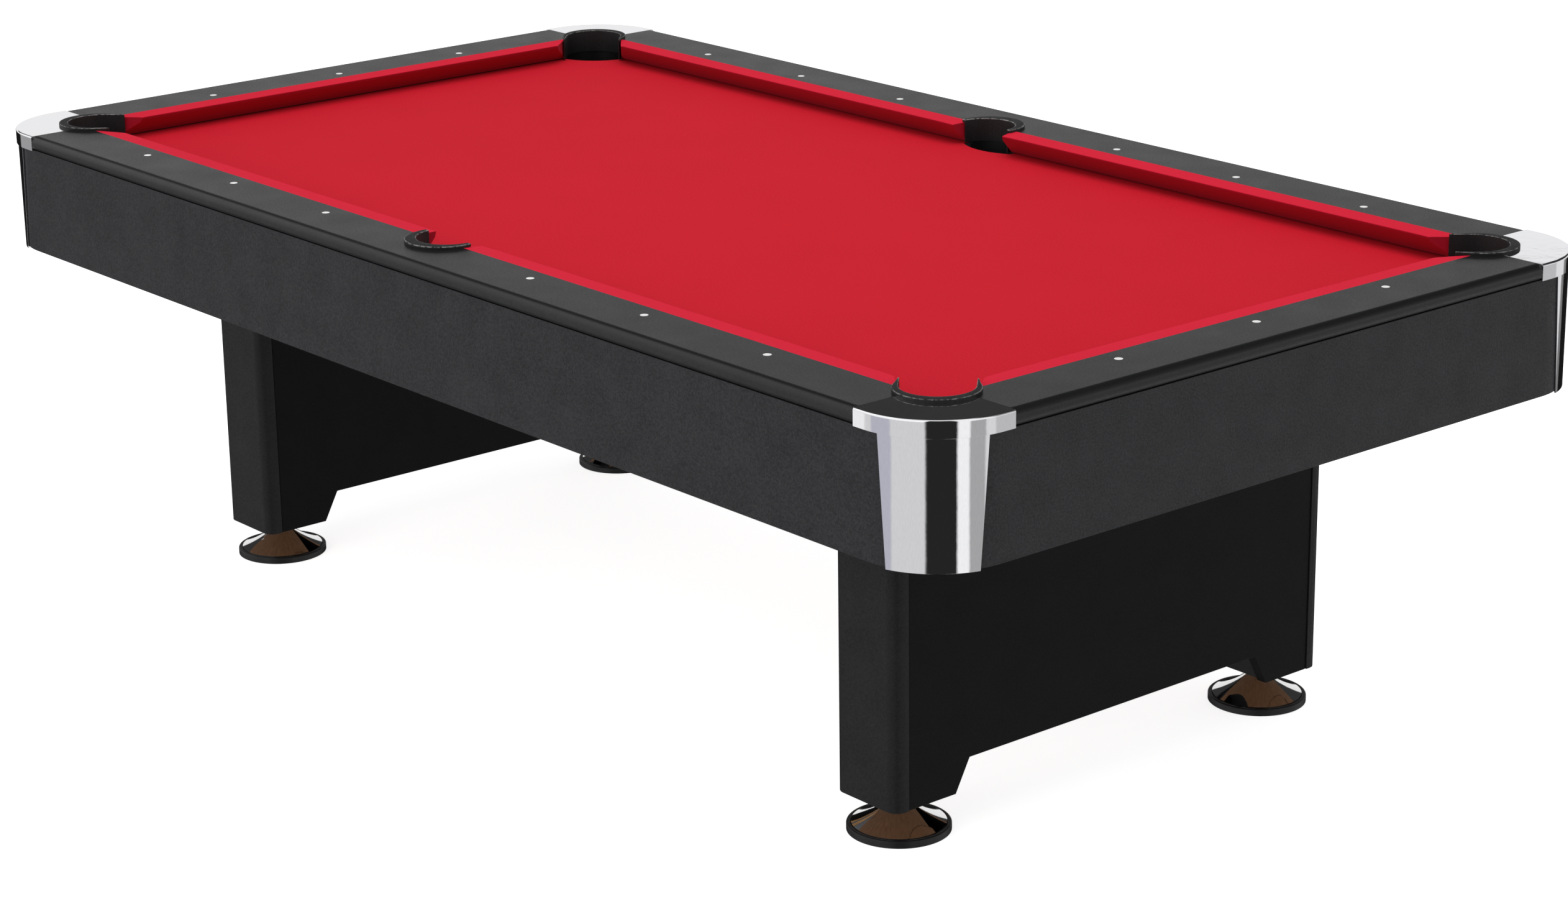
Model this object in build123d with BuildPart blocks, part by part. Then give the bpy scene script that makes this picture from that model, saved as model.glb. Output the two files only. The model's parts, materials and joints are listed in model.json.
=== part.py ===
"""A full-size pocket pool table: slate bed and cloth, cushioned rails with inlaid sights, metal corner
castings, drop pockets that run back to a ball box, and two pedestal legs on screw levelling feet.

Millimetres, +Z up. The origin is on the floor under the middle of the bed, X runs along the table and the
ball box is at the -X (foot) end. Seen from the head end (+X), -Y is the left side and +Y the right."""

import os
from math import radians, sqrt, tan

from build123d import *

os.makedirs("parts", exist_ok=True)

# ---------------------------------------------------------------- driving dimensions
play_length = 2235.2  # between the noses of the end cushions
play_width = 1117.6  # between the noses of the long cushions
bed_height = 744.0  # top of the cloth

# Rails and cushions, measured outwards from the cushion's nose
rail_width = 144.8
cushion_width = 36.0
edge_height = 26.0  # of the rail's outer edge, above the apron
rail_round = 12.5  # of the rail's outer edge, above and below
rail_rabbet = 3.0  # step that locates the rail inside the apron
nose_height = 36.5
nose_fall = 2.5  # how far the cushion's top falls from rail to nose
nose_radius = 1.2
face_depth = 8.5  # upright part of the cushion's nose face
face_set_in = 3.0
cushion_foot = 6.0  # flat under the back of the cushion
cushion_clearance = 2.5  # above the cloth

# Bed
cloth_thickness = 1.0
cloth_margin = 60.0  # beyond the noses, tucked under the rails
slate_thickness = 19.0
slate_margin = 95.0
slate_slabs = 3
slate_seam = 0.8

# Sights
sight_intervals = 8  # of the playing length; the ends carry half as many of the same spacing
sight_setback = 67.0
sight_radius = 6.3
sight_depth = 2.5

# Aprons
apron_setback = 5.8  # behind the rail's outermost edge
apron_thickness = 20.0
apron_height = 188.0
apron_reach = 88.0  # how far short of the outermost corner an apron ends

# Corner castings
corner_radius = 133.0
casting_joint = 154.0  # from the outermost corner to the joint with the rails
casting_wall = 4.0
cap_edge_radius = 3.5
cap_under_radius = 1.5
skirt_setback = 2.8
skirt_wall = 3.0
skirt_edge_top = 111.0  # from the outermost corner
skirt_edge_bottom = 98.0
skirt_overlap = 5.0  # run of the skirt up inside the lip
skirt_drop = 2.0  # below the apron
seam = 0.5

# Pockets, along the line that runs out through each mouth
throat_radius = 53.5
rim_side = 8.5  # width of the lip beside the throat
rim_thickness = 5.0
rim_skirt = 2.0
boot_wall = 3.0
bore_clearance = 0.5
corner_throat = 3.0  # throat centre beyond the point where the nose lines cross
corner_rim = 10.5
corner_horn = -31.0
corner_cut_start = -29.0
corner_cut_radius = 100.0
corner_mouth_side = 9.4  # from the throat's side to each cushion's nose tip, across the pocket
corner_facing = 38.0  # degrees off the nose line
side_throat = 18.0
side_rim = 30.0
side_horn = 21.0
side_cut_start = 6.0
side_cut_radius = 116.0
side_mouth_side = 10.0
side_facing = 76.0
spout_radius = 33.0
spout_length = 3.0
funnel_height = 15.0
boot_flange = 13.0
boot_flange_thickness = 3.0

# Frame and pedestals
beam_depth = 90.0
beam_thickness = 38.0
beam_end_inset = 17.6  # from the end cushions' noses
beam_clearance = 10.9  # from the corner boots' flanges
pedestal_inset = 267.6  # from the end cushions' noses to the pedestal's middle
pedestal_width = 138.0
pedestal_end_reach = 20.0  # of the posts past the inner faces of the long beams
leg_bottom = 60.0
post_thickness = 27.0
post_radius = 20.0
panel_thickness = 18.0
panel_setback = 1.5
panel_gap = 1.5
notch_foot_inset = 122.0  # from the pedestal's end
notch_top_inset = 150.0
notch_height = 52.0
block_depth = 88.0
block_height = 70.0

# Levelling feet
foot_inset = 68.0  # foot axis, from the pedestal's outer end
foot_travel = 25.0
stud_radius = 8.0
thread_clearance = 0.05
insert_radius = 11.0
insert_length = 40.0
stud_top_clearance = 6.0
ring_radius = 79.6
ring_height = 11.5
ring_floor = 6.0
ring_wall = 6.9
body_clearance = 0.3
dome_edge = 6.2
neck_radius = 14.0
neck_length = 10.0

# Ball return
ball_diameter = 57.15
ball_play = 2.85  # over a ball that passes under a spout
trough_clear = 90.0
trough_depth = 22.0
trough_wall = 4.0
trough_fall = 0.01
trough_step = 1.0  # between the side troughs and the end troughs below them
hanger_inset = 400.0  # from the frame's ends
hanger_width = 40.0
hanger_height = 8.0
end_trough_clear = 72.0
end_trough_fall = 0.015
box_half_width = 190.0
box_depth = 137.0
box_drop = 12.0  # below the end troughs
box_wall = 6.0
box_back_clearance = 3.0  # between the box's back wall and the slate
window_half_width = 165.0
window_sill = 15.0  # above the box's floor
window_height = 76.0
window_corner = 12.0
trim_width = 14.0
trim_thickness = 3.0

# Fasteners
bolt_radius = 4.0
bolt_head_radius = 7.5
bolt_head_height = 5.5
washer_radius = 9.0
washer_thickness = 2.0
bolt_setback = 78.0
bolt_reach = 46.0
bolt_clearance = 0.5
bracket_size = 40.0
bracket_width = 45.0
bracket_thickness = 3.0
bracket_y = 250.0
end_bolt_inset = 217.6  # from the end cushions' noses, along the long rails
side_bolt_inset = 208.8  # from the long cushions' noses, along the end rails
middle_bolt_x = 200.0  # either side of the side pockets

# ---------------------------------------------------------------- derived positions
rail_top = bed_height + nose_height + nose_fall
nose_x, nose_y = play_length / 2, play_width / 2
outer_x, outer_y = nose_x + rail_width, nose_y + rail_width
lip_bottom = rail_top - edge_height
slate_top = bed_height - cloth_thickness
slate_joint_x = nose_x / slate_slabs
sight_spacing = play_length / sight_intervals
slate_bottom = slate_top - slate_thickness
apron_face = rail_width - apron_setback
apron_back = apron_face - apron_thickness
apron_bottom = lip_bottom - apron_height
corner_x, corner_y = outer_x - corner_radius, outer_y - corner_radius
joint_x, joint_y = outer_x - casting_joint, outer_y - casting_joint
skirt_outer = corner_radius - skirt_setback
skirt_inner = skirt_outer - skirt_wall
skirt_bottom = apron_bottom - skirt_drop

corner_mouth = sqrt(2) * (throat_radius + corner_mouth_side)  # along each nose line
side_mouth = throat_radius + side_mouth_side
rim_radius = throat_radius + rim_side
rim_skirt_radius = throat_radius + rim_skirt
boot_outer = rim_skirt_radius + bore_clearance + boot_wall
pocket_bore = boot_outer + bore_clearance
spout_bottom = slate_bottom - funnel_height - spout_length

corner_throat_y = nose_y + corner_throat / sqrt(2)
beam_bottom = slate_bottom - beam_depth
beam_reach = nose_x - beam_end_inset
beam_face_y = corner_throat_y - boot_outer - boot_flange - beam_clearance
long_beam_y = beam_face_y - beam_thickness
pedestal_x = nose_x - pedestal_inset
pedestal_end_y = long_beam_y + pedestal_end_reach
pedestal_half = pedestal_width / 2
post_back_y = pedestal_end_y - post_thickness
foot_y = pedestal_end_y - foot_inset
panel_inner = pedestal_half - panel_setback - panel_thickness
neck_top = leg_bottom - body_clearance
stud_top = leg_bottom + block_height - stud_top_clearance
dome_radius = ring_radius - ring_wall - body_clearance

# The balls roll down the side troughs and the end troughs into the box behind the window.
inside_x = nose_x + apron_back
end_trough_x = -(inside_x - trough_wall - end_trough_clear / 2)
side_trough_end = end_trough_x + end_trough_clear / 2
side_trough_start = nose_x + spout_radius + boot_wall + trough_wall
side_trough_y = (corner_throat_y + nose_y + side_throat) / 2
side_floor_start = spout_bottom - ball_diameter - ball_play
side_floor_end = side_floor_start - trough_fall * (side_trough_start - side_trough_end)
end_floor_start = side_floor_end - trough_wall - trough_step - trough_depth
end_trough_start = side_trough_y + trough_clear / 2 + trough_wall
end_floor_end = end_floor_start - end_trough_fall * (end_trough_start - box_half_width)
box_floor = end_floor_end - box_drop
window_middle = box_floor + window_sill + window_height / 2

corner_sides = {
    "head_left": (1, -1),
    "head_right": (1, 1),
    "foot_left": (-1, -1),
    "foot_right": (-1, 1),
}
far_away = 400.0  # reach of cutting shapes that only have to clear the piece


def corner_mouth_plane(side_x, side_y):
    """Floor plane where two nose lines cross, with x running out through the corner pocket."""
    origin = (side_x * nose_x, side_y * nose_y, 0)
    return Plane(origin=origin, x_dir=(side_x, side_y, 0), z_dir=(0, 0, 1))


def side_mouth_plane(side_y):
    return Plane(origin=(0, side_y * nose_y, 0), x_dir=(0, side_y, 0), z_dir=(0, 0, 1))


def save(piece, name):
    piece.part.label = name
    export_step(piece.part, f"parts/{name}.step")


def turned(source, side_x, side_y):
    """A copy of a piece made in the +X, +Y quarter, mirrored into another quarter."""
    with BuildPart() as copy:
        add(source.part)
        if side_x < 0:
            mirror(about=Plane.YZ, mode=Mode.REPLACE)
        if side_y < 0:
            mirror(about=Plane.XZ, mode=Mode.REPLACE)
    return copy


# ---------------------------------------------------------------- shared outlines
with BuildSketch() as rail_section:  # x is outwards from the nose line, y is up from the floor
    with BuildLine():
        Polyline(
            (cushion_width, rail_top),
            (rail_width, rail_top),
            (rail_width, lip_bottom),
            (apron_back - rail_rabbet, lip_bottom),
            (apron_back - rail_rabbet, bed_height),
            (cushion_width, bed_height),
            close=True,
        )
    make_face()
    outer_edge = vertices().group_by(Axis.X)[-1]
    fillet(outer_edge, radius=rail_round)

with BuildSketch() as cushion_section:
    nose = (0, bed_height + nose_height)
    cushion_bottom = bed_height + cushion_clearance
    with BuildLine():
        Polyline(
            (cushion_width, nose[1] + nose_fall),
            nose,
            (face_set_in, nose[1] - face_depth),
            (cushion_width - cushion_foot, cushion_bottom),
            (cushion_width, cushion_bottom),
            close=True,
        )
    make_face()
    fillet(vertices().sort_by(Axis.X)[0], radius=nose_radius)

with BuildSketch() as casting_section:  # shell of the cap: x is out from the corner's centre
    with BuildLine():
        Polyline(
            (0, rail_top),
            (corner_radius, rail_top),
            (corner_radius, lip_bottom),
            (corner_radius - casting_wall, lip_bottom),
            (corner_radius - casting_wall, rail_top - casting_wall),
            (0, rail_top - casting_wall),
            close=True,
        )
    make_face()
    outer_edge = vertices().group_by(Axis.X)[-1].sort_by(Axis.Y)
    fillet(outer_edge[-1], radius=cap_edge_radius)
    fillet(outer_edge[0], radius=cap_under_radius)


def throat_outline(radius, throat, half_width, start):
    """A round throat that runs back towards the playing surface as a straight-sided slot."""
    with Locations((throat, 0)):
        Circle(radius)
    with Locations(((throat + start) / 2, 0)):
        Rectangle(throat - start, 2 * half_width)


def bed_notch(throat, cut_start, cut_radius):
    """Notch through slate and cloth: open outwards, with a shallow arc where the ball drops."""
    with Locations((throat, 0)):
        Circle(pocket_bore)
    with Locations((throat + far_away / 2, 0)):
        Rectangle(far_away, 2 * pocket_bore)
    with Locations((cut_start + cut_radius, 0)):
        Circle(cut_radius, mode=Mode.INTERSECT)


last_bolt_x = nose_x - end_bolt_inset
half_bolt_x = (middle_bolt_x, (middle_bolt_x + last_bolt_x) / 2, last_bolt_x)
long_bolt_x = [side * x for x in half_bolt_x for side in (-1, 1)]
end_bolt_y = (side_bolt_inset - nose_y, 0.0, nose_y - side_bolt_inset)
bolt_places = [(x, side * (nose_y + bolt_setback)) for x in long_bolt_x for side in (-1, 1)]
bolt_places += [(side * (nose_x + bolt_setback), y) for y in end_bolt_y for side in (-1, 1)]

# ---------------------------------------------------------------- bed
def bed_layer(bottom, thickness, margin):
    """Flat layer under the whole playing surface, notched at its six pockets."""
    with BuildPart() as layer:
        with BuildSketch(Plane.XY.offset(bottom)):
            Rectangle(2 * (nose_x + margin), 2 * (nose_y + margin))
        extrude(amount=thickness)
        for side_x, side_y in corner_sides.values():
            with BuildSketch(corner_mouth_plane(side_x, side_y).offset(bottom)):
                bed_notch(corner_throat, corner_cut_start, corner_cut_radius)
            extrude(amount=thickness, mode=Mode.SUBTRACT)
        for side_y in (-1, 1):
            with BuildSketch(side_mouth_plane(side_y).offset(bottom)):
                bed_notch(side_throat, side_cut_start, side_cut_radius)
            extrude(amount=thickness, mode=Mode.SUBTRACT)
    return layer


save(bed_layer(slate_top, cloth_thickness, cloth_margin), "bed_cloth")

with BuildPart() as slate_bed:
    add(bed_layer(slate_bottom, slate_thickness, slate_margin).part)
    with BuildSketch(Plane.XY.offset(slate_bottom)):
        with Locations(*bolt_places):
            Circle(bolt_radius + bolt_clearance)
    extrude(amount=slate_thickness, mode=Mode.SUBTRACT)
    with BuildSketch(Plane.XY.offset(slate_bottom)):
        with Locations((-slate_joint_x, 0), (slate_joint_x, 0)):
            Rectangle(slate_seam, 2 * outer_y)
    extrude(amount=slate_thickness, mode=Mode.SUBTRACT)
save(slate_bed, "slate_bed")

# ---------------------------------------------------------------- cushions
corner_facing_run = cushion_width / tan(radians(corner_facing))
side_facing_run = cushion_width / tan(radians(side_facing))
cushion_back_height = nose_height + nose_fall

with BuildPart() as long_cushion:
    with BuildSketch(Plane(origin=(0, nose_y, 0), x_dir=(0, 1, 0), z_dir=(1, 0, 0))):
        add(cushion_section.sketch)
    extrude(amount=nose_x)
    with BuildSketch(Plane.XY.offset(bed_height)):
        with BuildLine():
            Polyline(
                (side_mouth, nose_y),
                (nose_x - corner_mouth, nose_y),
                (nose_x - corner_mouth + corner_facing_run, nose_y + cushion_width),
                (side_mouth - side_facing_run, nose_y + cushion_width),
                close=True,
            )
        make_face()
    extrude(amount=cushion_back_height, mode=Mode.INTERSECT)

for corner, (side_x, side_y) in corner_sides.items():
    save(turned(long_cushion, side_x, side_y), f"cushion_{corner}")

with BuildPart() as end_cushion:
    with BuildSketch(Plane(origin=(nose_x, 0, 0), x_dir=(1, 0, 0), z_dir=(0, -1, 0))):
        add(cushion_section.sketch)
    extrude(amount=nose_y, both=True)
    tip_y = nose_y - corner_mouth
    with BuildSketch(Plane.XY.offset(bed_height)):
        with BuildLine():
            Polyline(
                (nose_x, tip_y),
                (nose_x, -tip_y),
                (nose_x + cushion_width, -tip_y - corner_facing_run),
                (nose_x + cushion_width, tip_y + corner_facing_run),
                close=True,
            )
        make_face()
    extrude(amount=cushion_back_height, mode=Mode.INTERSECT)

save(turned(end_cushion, 1, 1), "cushion_head_end")
save(turned(end_cushion, -1, 1), "cushion_foot_end")

# ---------------------------------------------------------------- rails and sights
long_sights = [(step * sight_spacing, nose_y + sight_setback) for step in (-3, -2, -1, 1, 2, 3)]
end_sights = [(nose_x + sight_setback, step * sight_spacing) for step in (-1, 0, 1)]
rail_bolt_top = slate_bottom + bolt_reach
slot_half_width = pocket_bore - boot_wall
slot_start = -far_away / 4


def make_rail(across, half_length, mouths, sights, bolts):
    """A rail along the middle of the plane across, with pocket bores, sight recesses and bolt holes."""
    height = rail_top - bed_height
    with BuildPart() as rail:
        with BuildSketch(across):
            add(rail_section.sketch)
        extrude(amount=half_length, both=True)
        for mouth, throat in mouths:
            with BuildSketch(mouth.offset(bed_height)):
                throat_outline(pocket_bore, throat, slot_half_width, slot_start)
            extrude(amount=height, mode=Mode.SUBTRACT)
        with BuildSketch(Plane.XY.offset(rail_top - sight_depth)):
            with Locations(*sights):
                Circle(sight_radius)
        extrude(amount=sight_depth, mode=Mode.SUBTRACT)
        with BuildSketch(Plane.XY.offset(bed_height)):
            with Locations(*bolts):
                Circle(bolt_radius)
        extrude(amount=rail_bolt_top - bed_height, mode=Mode.SUBTRACT)
    return rail


long_rail = make_rail(
    Plane(origin=(0, nose_y, 0), x_dir=(0, 1, 0), z_dir=(1, 0, 0)),
    joint_x - seam,
    [
        (corner_mouth_plane(1, 1), corner_throat),
        (corner_mouth_plane(-1, 1), corner_throat),
        (side_mouth_plane(1), side_throat),
    ],
    long_sights,
    [(x, nose_y + bolt_setback) for x in long_bolt_x],
)
end_rail = make_rail(
    Plane(origin=(nose_x, 0, 0), x_dir=(1, 0, 0), z_dir=(0, -1, 0)),
    joint_y - seam,
    [(corner_mouth_plane(1, 1), corner_throat), (corner_mouth_plane(1, -1), corner_throat)],
    end_sights,
    [(nose_x + bolt_setback, y) for y in end_bolt_y],
)
save(turned(long_rail, 1, -1), "rail_left")
save(turned(long_rail, 1, 1), "rail_right")
save(turned(end_rail, 1, 1), "rail_head_end")
save(turned(end_rail, -1, 1), "rail_foot_end")

with BuildPart() as sights:
    with BuildSketch(Plane.XY.offset(rail_top - sight_depth)):
        with Locations(*[(x, side * y) for x, y in long_sights for side in (-1, 1)]):
            Circle(sight_radius)
        with Locations(*[(side * x, y) for x, y in end_sights for side in (-1, 1)]):
            Circle(sight_radius)
    extrude(amount=sight_depth)
save(sights, "rail_sights")

with BuildPart() as rail_bolts:
    with BuildSketch(Plane.XY.offset(slate_bottom - washer_thickness)):
        with Locations(*bolt_places):
            Circle(washer_radius)
    extrude(amount=washer_thickness)
    with BuildSketch(Plane.XY.offset(slate_bottom - washer_thickness - bolt_head_height)):
        with Locations(*bolt_places):
            RegularPolygon(bolt_head_radius, 6)
    extrude(amount=bolt_head_height)
    with BuildSketch(Plane.XY.offset(slate_bottom)):
        with Locations(*bolt_places):
            Circle(bolt_radius)
    extrude(amount=bolt_reach)
save(rail_bolts, "rail_bolts")

# ---------------------------------------------------------------- aprons
def make_apron(middle, size):
    """Upright board with its ends eased to the curve that the corner castings sit on."""
    with BuildPart() as apron:
        with BuildSketch(Plane.XY.offset(apron_bottom)):
            RectangleRounded(2 * (nose_x + apron_face), 2 * (nose_y + apron_face), skirt_inner)
            with Locations(middle):
                Rectangle(*size, mode=Mode.INTERSECT)
        extrude(amount=apron_height)
    return apron


long_apron = make_apron(
    (0, nose_y + apron_face - apron_thickness / 2), (2 * (outer_x - apron_reach), apron_thickness)
)
end_apron = make_apron(
    (nose_x + apron_face - apron_thickness / 2, 0), (apron_thickness, 2 * (outer_y - apron_reach))
)
save(turned(long_apron, 1, -1), "apron_left")
save(turned(long_apron, 1, 1), "apron_right")
save(end_apron, "apron_head_end")

foot_face_x = -(nose_x + apron_face)

with BuildPart() as foot_apron:
    add(turned(end_apron, -1, 1).part)
    with BuildSketch(Plane.YZ.offset(foot_face_x)):
        with Locations((0, window_middle)):
            RectangleRounded(2 * window_half_width, window_height, window_corner)
    extrude(amount=apron_thickness, mode=Mode.SUBTRACT)
save(foot_apron, "apron_foot_end")

# ---------------------------------------------------------------- corner castings
skirt_height = lip_bottom + skirt_overlap - skirt_bottom

with BuildPart() as corner_casting:
    with BuildSketch(Plane(origin=(corner_x, corner_y, skirt_bottom), z_dir=(0, 0, 1))):
        Circle(skirt_outer)
        Circle(skirt_inner, mode=Mode.SUBTRACT)
        with Locations((corner_radius / 2, corner_radius / 2)):
            Rectangle(corner_radius, corner_radius, mode=Mode.INTERSECT)
    extrude(amount=skirt_height)
    for face, centre, outermost in ((Plane.XZ, corner_x, outer_x), (Plane.YZ, corner_y, outer_y)):
        edge_bottom, edge_top = outermost - skirt_edge_bottom, outermost - skirt_edge_top
        with BuildSketch(face):
            with BuildLine():
                Polyline(
                    (centre - seam, skirt_bottom),
                    (edge_bottom, skirt_bottom),
                    (edge_top, lip_bottom),
                    (edge_top, lip_bottom + skirt_overlap),
                    (centre - seam, lip_bottom + skirt_overlap),
                    close=True,
                )
            make_face()
        extrude(amount=outer_x, both=True, mode=Mode.SUBTRACT)
    with BuildSketch(Plane(origin=(corner_x, corner_y, 0), x_dir=(1, 0, 0), z_dir=(0, -1, 0))):
        add(casting_section.sketch)
    revolve(axis=Axis((corner_x, corner_y, 0), (0, 0, 1)), revolution_arc=90)
    with BuildSketch(Plane(origin=(corner_x, corner_y, 0), x_dir=(1, 0, 0), z_dir=(0, -1, 0))):
        add(casting_section.sketch)
    extrude(amount=corner_y - joint_y)
    with BuildSketch(Plane(origin=(corner_x, corner_y, 0), x_dir=(0, 1, 0), z_dir=(1, 0, 0))):
        add(casting_section.sketch)
    extrude(amount=joint_x - corner_x)
    with BuildSketch(Plane.XY.offset(rail_top - casting_wall)):
        with Locations(((corner_x + joint_x) / 2, (corner_y + joint_y) / 2)):
            Rectangle(corner_x - joint_x, corner_y - joint_y)
    extrude(amount=casting_wall)
    with BuildSketch(corner_mouth_plane(1, 1).offset(rail_top - casting_wall)):
        throat_outline(pocket_bore, corner_throat, slot_half_width, slot_start)
    extrude(amount=casting_wall, mode=Mode.SUBTRACT)

for corner, (side_x, side_y) in corner_sides.items():
    save(turned(corner_casting, side_x, side_y), f"corner_casting_{corner}")


# ---------------------------------------------------------------- pockets
def pocket_lip(mouth, throat, rim, horn):
    """Raised crescent lip with horns against the cushion ends, and a skirt down inside the throat."""
    skirt_bottom_z = bed_height + cushion_clearance
    with BuildPart() as lip:
        with BuildSketch(mouth.offset(rail_top)):
            with Locations((rim, 0)):
                Circle(rim_radius)
            with BuildLine():
                Polyline((rim, rim_radius), (horn, rim_skirt_radius), (horn, -rim_skirt_radius),
                         (rim, -rim_radius), close=True)
            make_face()
            throat_outline_cut(throat, horn)
        extrude(amount=rim_thickness)
        with BuildSketch(mouth.offset(skirt_bottom_z)):
            throat_outline(rim_skirt_radius, throat, rim_skirt_radius, min(horn, throat - 1))
            throat_outline_cut(throat, horn)
        extrude(amount=rail_top - skirt_bottom_z)
    return lip


def throat_outline_cut(throat, horn):
    """Opens the throat, and everything on the playing side of the horns' tips."""
    with Locations((throat, 0)):
        Circle(throat_radius, mode=Mode.SUBTRACT)
    with Locations((throat - far_away / 2, 0)):
        Rectangle(far_away, 2 * throat_radius, mode=Mode.SUBTRACT)
    with Locations((horn - far_away / 2, 0)):
        Rectangle(far_away, far_away, mode=Mode.SUBTRACT)


def pocket_boot(mouth, throat, wall_start):
    """Moulded bucket: half-round wall behind the drop, then a funnel down to a round spout."""
    centre = mouth.from_local_coords(Vector(throat, 0, 0))
    inner = boot_outer - boot_wall
    spout_outer = spout_radius + boot_wall
    spout_top = spout_bottom + spout_length
    with BuildPart() as boot:
        with BuildSketch(Plane(origin=centre, x_dir=(1, 0, 0), z_dir=(0, -1, 0))):
            with BuildLine():
                Polyline(
                    (inner, rail_top),
                    (boot_outer, rail_top),
                    (boot_outer, slate_bottom),
                    (boot_outer + boot_flange, slate_bottom),
                    (boot_outer + boot_flange, slate_bottom - boot_flange_thickness),
                    (boot_outer, slate_bottom - boot_flange_thickness),
                    (spout_outer, spout_top),
                    (spout_outer, spout_bottom),
                    (spout_radius, spout_bottom),
                    (spout_radius, spout_top + boot_wall / 2),
                    (inner, slate_bottom + boot_wall / 2),
                    close=True,
                )
            make_face()
        revolve(axis=Axis(centre, (0, 0, 1)))
        with BuildSketch(mouth.offset(slate_bottom)):
            with Locations((wall_start - far_away / 2, 0)):
                Rectangle(far_away, far_away)
        extrude(amount=rail_top - slate_bottom, mode=Mode.SUBTRACT)
    return boot


corner_lip = pocket_lip(corner_mouth_plane(1, 1), corner_throat, corner_rim, corner_horn)
corner_boot = pocket_boot(corner_mouth_plane(1, 1), corner_throat, corner_throat + 1)
side_lip = pocket_lip(side_mouth_plane(1), side_throat, side_rim, side_horn)
side_boot = pocket_boot(side_mouth_plane(1), side_throat, cushion_width + 1)

for corner, (side_x, side_y) in corner_sides.items():
    save(turned(corner_lip, side_x, side_y), f"pocket_lip_{corner}")
    save(turned(corner_boot, side_x, side_y), f"pocket_boot_{corner}")
for side, side_y in (("left", -1), ("right", 1)):
    save(turned(side_lip, 1, side_y), f"pocket_lip_side_{side}")
    save(turned(side_boot, 1, side_y), f"pocket_boot_side_{side}")

# ---------------------------------------------------------------- frame
with BuildPart() as long_beam:
    with BuildSketch(Plane.XY.offset(beam_bottom)):
        with Locations((0, long_beam_y + beam_thickness / 2)):
            Rectangle(2 * beam_reach, beam_thickness)
    extrude(amount=beam_depth)
save(turned(long_beam, 1, -1), "frame_beam_left")
save(turned(long_beam, 1, 1), "frame_beam_right")

beam_offset = pedestal_half - beam_thickness / 2
cross_beam_x = [-slate_joint_x, slate_joint_x] + [
    side * pedestal_x + step for side in (-1, 1) for step in (-beam_offset, beam_offset)
]
with BuildPart() as cross_beams:
    with BuildSketch(Plane.XY.offset(beam_bottom)):
        with Locations(*[(x, 0) for x in cross_beam_x]):
            Rectangle(beam_thickness, 2 * long_beam_y)
    extrude(amount=beam_depth)
save(cross_beams, "frame_cross_beams")

# ---------------------------------------------------------------- pedestals
leg_height = beam_bottom - leg_bottom
insert_top = leg_bottom + insert_length

with BuildPart() as leg_post:
    with BuildSketch(Plane.XY.offset(leg_bottom)):
        with Locations((pedestal_x, pedestal_end_y - post_thickness / 2)):
            Rectangle(pedestal_width, post_thickness)
        outer_corners = vertices().group_by(Axis.Y)[-1]
        fillet(outer_corners, radius=post_radius)
    extrude(amount=leg_height)
    with BuildSketch(Plane.XY.offset(leg_bottom)):
        with Locations((pedestal_x, post_back_y - block_depth / 2)):
            Rectangle(2 * panel_inner, block_depth)
    extrude(amount=block_height)
    with BuildSketch(Plane.XY.offset(leg_bottom)):
        with Locations((pedestal_x, foot_y)):
            Circle(insert_radius)
    extrude(amount=insert_length, mode=Mode.SUBTRACT)
    with BuildSketch(Plane.XY.offset(insert_top)):
        with Locations((pedestal_x, foot_y)):
            Circle(stud_radius + bolt_clearance)
    extrude(amount=block_height - insert_length, mode=Mode.SUBTRACT)

for corner, (side_x, side_y) in corner_sides.items():
    save(turned(leg_post, side_x, side_y), f"leg_post_{corner}")


def leg_panel(middle_x):
    """Full-width board between two posts, with an arch cut in its lower edge."""
    half = post_back_y - panel_gap
    notch_foot, notch_top = pedestal_end_y - notch_foot_inset, pedestal_end_y - notch_top_inset
    with BuildPart() as panel:
        with BuildSketch(Plane.YZ.offset(middle_x)):
            with BuildLine():
                Polyline(
                    (-half, beam_bottom),
                    (-half, leg_bottom),
                    (-notch_foot, leg_bottom),
                    (-notch_top, leg_bottom + notch_height),
                    (notch_top, leg_bottom + notch_height),
                    (notch_foot, leg_bottom),
                    (half, leg_bottom),
                    (half, beam_bottom),
                    close=True,
                )
            make_face()
        extrude(amount=panel_thickness / 2, both=True)
    return panel


panel_offset = panel_inner + panel_thickness / 2
outer_panel = leg_panel(pedestal_x + panel_offset)
inner_panel = leg_panel(pedestal_x - panel_offset)
for end, side_x in (("head", 1), ("foot", -1)):
    save(turned(outer_panel, side_x, 1), f"leg_panel_{end}_outer")
    save(turned(inner_panel, side_x, 1), f"leg_panel_{end}_inner")

with BuildPart() as leg_inserts:
    with BuildSketch(Plane.XY.offset(leg_bottom)):
        with Locations(*[(x * pedestal_x, y * foot_y) for x, y in corner_sides.values()]):
            Circle(insert_radius)
            Circle(stud_radius + thread_clearance, mode=Mode.SUBTRACT)
    extrude(amount=insert_length)
save(leg_inserts, "leg_inserts")

with BuildPart() as leg_brackets:
    for side_x in (-1, 1):
        for face in (-1, 1):
            for y in (-bracket_y, bracket_y):
                wall_x = side_x * pedestal_x + face * panel_inner
                with BuildSketch(Plane.XZ.offset(-y)):
                    with BuildLine():
                        Polyline(
                            (wall_x, beam_bottom),
                            (wall_x, beam_bottom - bracket_size),
                            (wall_x - face * bracket_thickness, beam_bottom - bracket_size),
                            (wall_x - face * bracket_thickness, beam_bottom - bracket_thickness),
                            (wall_x - face * beam_thickness / 2, beam_bottom - bracket_thickness),
                            (wall_x - face * beam_thickness / 2, beam_bottom),
                            close=True,
                        )
                    make_face()
                extrude(amount=bracket_width / 2, both=True)
save(leg_brackets, "leg_brackets")

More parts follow.
